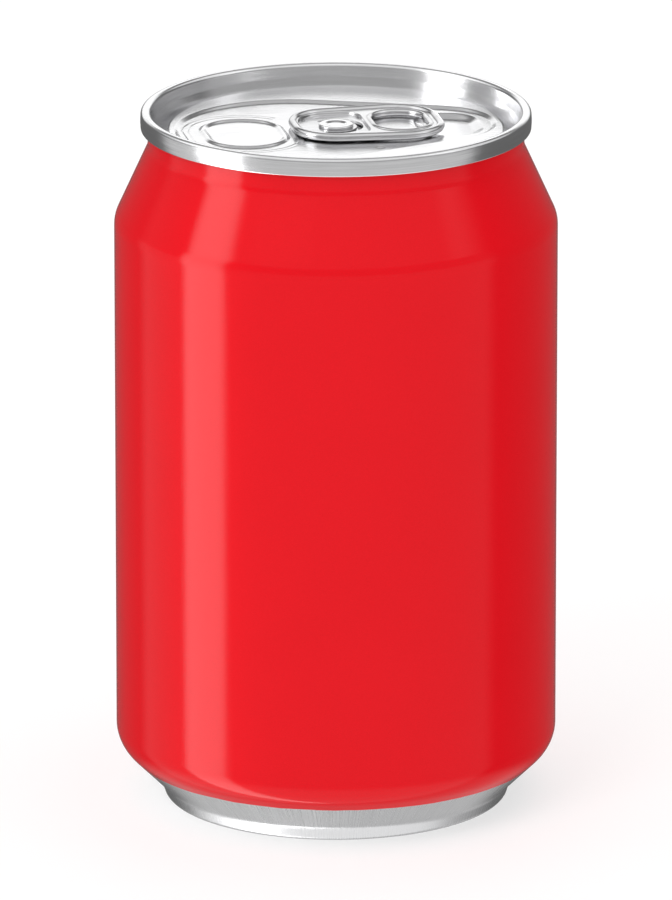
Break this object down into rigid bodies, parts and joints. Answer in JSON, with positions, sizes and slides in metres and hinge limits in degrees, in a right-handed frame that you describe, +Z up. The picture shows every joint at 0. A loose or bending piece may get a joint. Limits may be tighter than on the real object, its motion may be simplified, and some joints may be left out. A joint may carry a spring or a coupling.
{
  "type": "soda can",
  "caption": "Sealed aluminium drink can with a red coated wall, tapered neck, seamed lid with a riveted pull tab, and a domed base.",
  "frame": {"origin": "middle of the circle that the can stands on, at the can's base", "axes": "+Z up the can's axis, +X from the rivet to the tab's finger end, -Y towards the viewer"},
  "size_m": [0.0662, 0.0662, 0.106],
  "materials": {
    "red_coat": "glossy red ink and varnish over drawn aluminium, bare and silver under the ink's edge at the base",
    "lid_metal": "rolled aluminium with a clear lacquer, satin",
    "tab_metal": "plain aluminium strip, satin"
  },
  "bodies": {
    "root": {"body": "red_coat", "lid": "lid_metal", "tab": "tab_metal"}
  },
  "joints": []
}
